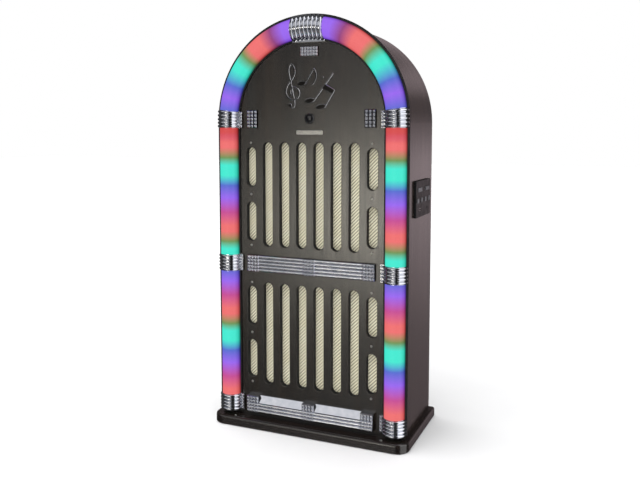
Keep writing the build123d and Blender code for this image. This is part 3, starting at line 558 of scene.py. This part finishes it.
def woven_sheet(node, finish):
    """Grille cloth pulled flat over its board, with raised diagonal ribs."""
    low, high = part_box(node)
    width, height = high.x - low.x, high.z - low.z
    columns, rows = int(width / cloth_step), int(height / cloth_step)
    x = np.linspace(low.x, high.x, columns + 1)
    z = np.linspace(low.z, high.z, rows + 1)
    grid_x, grid_z = np.meshgrid(x, z)
    ribs = np.abs(np.sin(math.pi * (grid_x - grid_z) / (math.sqrt(2) * rib_pitch)))
    across, up = (grid_x - low.x) / width, (grid_z - low.z) / height
    slack = cloth_slack * np.sin(math.pi * across) * np.sin(math.pi * up)
    grid_y = high.y - cloth_gap - rib_height * ribs - slack
    points = np.stack([grid_x, grid_y, grid_z], axis=-1).reshape(-1, 3)
    corner = (np.arange(rows)[:, None] * (columns + 1) + np.arange(columns)[None, :]).reshape(-1)
    faces = np.stack([corner, corner + 1, corner + columns + 2, corner + columns + 1], axis=-1)
    mesh = bpy.data.meshes.new(node + "_woven")
    mesh.from_pydata(points.tolist(), [], faces.tolist())
    mesh.materials.append(finish)
    mesh.shade_smooth()
    cloth = bpy.data.objects.new(node + "_woven", mesh)
    bpy.context.scene.collection.objects.link(cloth)
    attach(cloth, "cabinet")
    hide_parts(node)


# ---- Shapes that need softer edges than the CAD solids ----
weld_reach = 0.01 * MM
flat_angle = math.radians(1.0)      # faces that meet at less than this are one face
rim_angle = math.radians(40.0)      # edges sharper than this are rounded
rim_segments = 3
rim_width = {"emblem_clef": 1.3 * MM, "emblem_eighth_note": 0.7 * MM, "emblem_beamed_notes": 1.3 * MM}


def soften(node, width):
    """Rounded rims on a CAD piece, by modifiers that leave its mesh as it is."""
    piece = frame["nodes"][node]
    weld = piece.modifiers.new("weld", "WELD")
    weld.merge_threshold = weld_reach
    flat = piece.modifiers.new("flat", "DECIMATE")
    flat.decimate_type = "DISSOLVE"
    flat.angle_limit = flat_angle
    rim = piece.modifiers.new("rim", "BEVEL")
    rim.width = width
    rim.segments = rim_segments
    rim.limit_method = "ANGLE"
    rim.angle_limit = rim_angle
    rim.use_clamp_overlap = False


# ---- Every node's finish ----
def dress():
    """Give every node its finish, and return the finishes by material slot."""
    finishes = {
        "veneer": espresso("veneer_upright", "upright"),
        "board": board("board", linear(138, 108, 76), linear(176, 142, 104)),
        "black_board": board("black_board", linear(30, 30, 31), linear(50, 49, 48)),
        "diffuser": diffuser("diffuser_straight", column_share, column_cycle, top_colour=red),
        "lamp": lamp(),
        "chrome": chrome("chrome"),
        "black_gloss": black_gloss(),
        "black_plastic": textured_plastic("black_plastic", linear(18, 18, 19), linear(32, 32, 34)),
        "button": textured_plastic("button", linear(74, 74, 78), linear(108, 108, 112)),
        "cloth": cloth_finish(),
        "rubber": rubber(),
        "basket": basket(),
        "magnet": magnet(),
        "cone": cone_paper(),
        "circuit": circuit(),
        "steel": steel(),
    }
    arch_light = diffuser("diffuser_arch", arch_share, arch_run)
    dark_mirror = black_chrome_rim_highlight()
    studded = chrome("chrome_studs_shaded", badge_height)
    special = {
        "front_baffle": baffle_foil(),
        "arch_panel": espresso("veneer_arch", "round"),
        "base_plinth": plinth_wood(),
        "light_tube_left_arch": arch_light,
        "light_tube_right_arch": arch_light,
        "chrome_screws": finishes["steel"],
        "nameplate": finishes["steel"],
        "badge_crown": studded,
        "side_badges": studded,
        "crossbar_middle": chrome("chrome_bar_shaded", bar_height),
    }
    special.update({emblem: dark_mirror for emblem in rim_width})
    for part in frame["record"]["subparts"]:
        node = part["node"]
        finish = special.get(node, finishes[part["material_slot"]])
        piece = frame["nodes"][node]
        piece.data.materials.clear()
        piece.data.materials.append(finish)
    return finishes


# ---- Floor, light and surroundings ----
softbox_glow = 8.5          # radiance of the low softbox, seen only in reflections
slat_pitch = 2.6            # degrees between the softbox's slats
softbox_tint = (1.05, 1.0, 0.87, 1.0)
side_tint = (1.14, 0.92, 0.97, 1.0)         # tint of what the right side reflects
room_light = (0.72, 0.72, 0.73, 1.0)        # even light that falls on everything
backdrop = (1.0, 1.0, 1.0, 1.0)             # what the camera sees behind the object
floor_reach = 14.0          # from the middle of the floor to its edges
sun_strength = 2.6
sun_spread = math.radians(75.0)
sun_aim = Vector((0.28, 0.28, -1.0))


def floor_finish():
    """Pale matte paper with a faint mottle."""
    made, tree, inputs = surface("floor", Roughness=0.9, Specular_IOR_Level=0.0)
    mottle = noise(tree, place(tree), 3.0, 3.0, 0.5)
    pale = ramp(tree, mottle, [(0.3, (0.80, 0.80, 0.80, 1.0)), (0.7, (0.83, 0.83, 0.83, 1.0))])
    feed(tree, inputs["Base Color"], pale)
    return made


def make_floor():
    """Square floor that mirrors don't see."""
    mesh = bpy.data.meshes.new("floor")
    signs = ((-1, -1), (1, -1), (1, 1), (-1, 1))
    corners = [(x * floor_reach, y * floor_reach, 0) for x, y in signs]
    mesh.from_pydata(corners, [], [(0, 1, 2, 3)])
    mesh.materials.append(floor_finish())
    floor = bpy.data.objects.new("floor", mesh)
    floor.visible_glossy = False
    bpy.context.scene.collection.objects.link(floor)


def make_sun():
    """Very soft light from above, to the left of the viewer."""
    data = bpy.data.lights.new("sky_light", "SUN")
    data.energy = sun_strength
    data.angle = sun_spread
    light = bpy.data.objects.new("sky_light", data)
    light.rotation_euler = sun_aim.to_track_quat("-Z", "Y").to_euler()
    light.visible_glossy = False
    bpy.context.scene.collection.objects.link(light)


def compass(degrees):
    """Ramp position of a direction, in degrees from straight ahead of the front toward +X."""
    return 0.5 + degrees / 360


def incline(degrees):
    """Vertical part of a direction that rises by so many degrees, as a ramp position."""
    return 0.5 + math.sin(math.radians(degrees)) / 2


def studio(tree):
    """What shiny surfaces see: dark screens, one bright wall to the right, a low softbox in front."""
    direction = add(tree, "TexCoord").outputs["Generated"]
    split = add(tree, "SeparateXYZ", {0: direction}).outputs
    turn = maths(tree, "ARCTAN2", split[0], maths(tree, "MULTIPLY", split[1], -1.0))
    around = maths(tree, "MULTIPLY_ADD", turn, 0.5 / math.pi, 0.5)
    level = maths(tree, "MULTIPLY_ADD", split[2], 0.5, 0.5)
    ring_stops = (
        (-180, 0.10), (-60, 0.05), (-44, 0.05), (-38, 0.30), (-32, 0.30),
        (-29.5, 0.10), (-26, 0.10), (-24.5, 0.42), (6, 0.42), (13, 0.03), (47, 0.03),
        (51, 1.6), (107, 1.6), (112, 0.05), (140, 0.05), (150, 0.15), (180, 0.10),
    )
    ring = grey_ramp(tree, around, [(compass(turned), value) for turned, value in ring_stops])
    low_stops = ((-60, 0.9), (-22.5, 0.6), (-15.5, 0.5), (3.5, 0.7), (6.5, 0.9))
    fade = grey_ramp(tree, level, [(incline(tilt), value) for tilt, value in low_stops])
    high_stops = ((18, 0.8), (42, 0.8), (48, 0.06), (68, 0.06), (74, 0.9))
    ceiling = grey_ramp(tree, level, [(incline(tilt), value) for tilt, value in high_stops])
    zone_stops = ((-75, 0.0), (-60, 1.0), (8, 1.0), (13, 0.0))
    zone = grey_ramp(tree, around, [(compass(turned), value) for turned, value in zone_stops])
    is_high = maths(tree, "MULTIPLY", zone, grey_ramp(tree, level, [(incline(12), 0.0), (incline(18), 1.0)]))
    front = blend(tree, is_high, blend(tree, 1.0, ring, fade, "MULTIPLY"), ceiling)
    back_stops = (
        (-22.5, 0.17), (-15.5, 0.22), (-11.5, 0.36), (-8.5, 0.50), (-2.5, 0.68), (0.5, 0.22), (4.5, 0.14),
        (9, 0.14), (13, 0.42), (16.5, 0.42), (19.5, 0.05), (23, 0.03), (40, 0.03), (60, 0.3), (75, 0.9),
    )
    back = grey_ramp(tree, level, [(incline(tilt), value) for tilt, value in back_stops])
    behind = grey_ramp(tree, split[1], [(0.70, 0.0), (0.78, 1.0)])
    walls = blend(tree, behind, front, blend(tree, 1.0, back, side_tint, "MULTIPLY"))
    width_stops = ((-32, 0.0), (-28, 0.13), (-23, 0.62), (-18, 1.0), (-4, 1.0), (4, 0.0))
    box_width = grey_ramp(tree, around, [(compass(turned), value) for turned, value in width_stops])
    height_stops = (
        (-15, 0.0), (-12, 0.3), (-9.5, 0.8), (-6.5, 1.0), (-3.5, 0.75), (-1.5, 0.4), (1, 0.05), (3, 0.0),
    )
    box_height = grey_ramp(tree, level, [(incline(tilt), value) for tilt, value in height_stops])
    slat_turn = maths(tree, "MULTIPLY", split[2], math.tau / math.sin(math.radians(slat_pitch)))
    slat = grey_ramp(tree, maths(tree, "SINE", slat_turn), [(0.0, 0.08), (0.25, 1.0)])
    box = maths(tree, "MULTIPLY", box_width, box_height)
    glow = maths(tree, "MULTIPLY", maths(tree, "MULTIPLY", box, slat), softbox_glow)
    warm = blend(tree, 1.0, glow, softbox_tint, "MULTIPLY")
    return blend(tree, 1.0, walls, warm, "ADD")


def make_surroundings():
    """White backdrop for the camera, even pale light, and the studio for reflections."""
    world = bpy.data.worlds.new("studio")
    world.use_nodes = True
    bpy.context.scene.world = world
    tree = world.node_tree
    path = add(tree, "LightPath").outputs
    seen = blend(tree, path["Is Glossy Ray"], room_light, studio(tree))
    shown = blend(tree, path["Is Camera Ray"], seen, backdrop)
    feed(tree, tree.nodes["Background"].inputs["Color"], shown)


make_camera()
bpy.context.scene.view_settings.view_transform = "Standard"
finishes = dress()
for emblem, width in rim_width.items():
    soften(emblem, width)
for cloth_node in ("grille_cloth_upper", "grille_cloth_lower"):
    woven_sheet(cloth_node, finishes["cloth"])
make_floor()
make_sun()
make_surroundings()
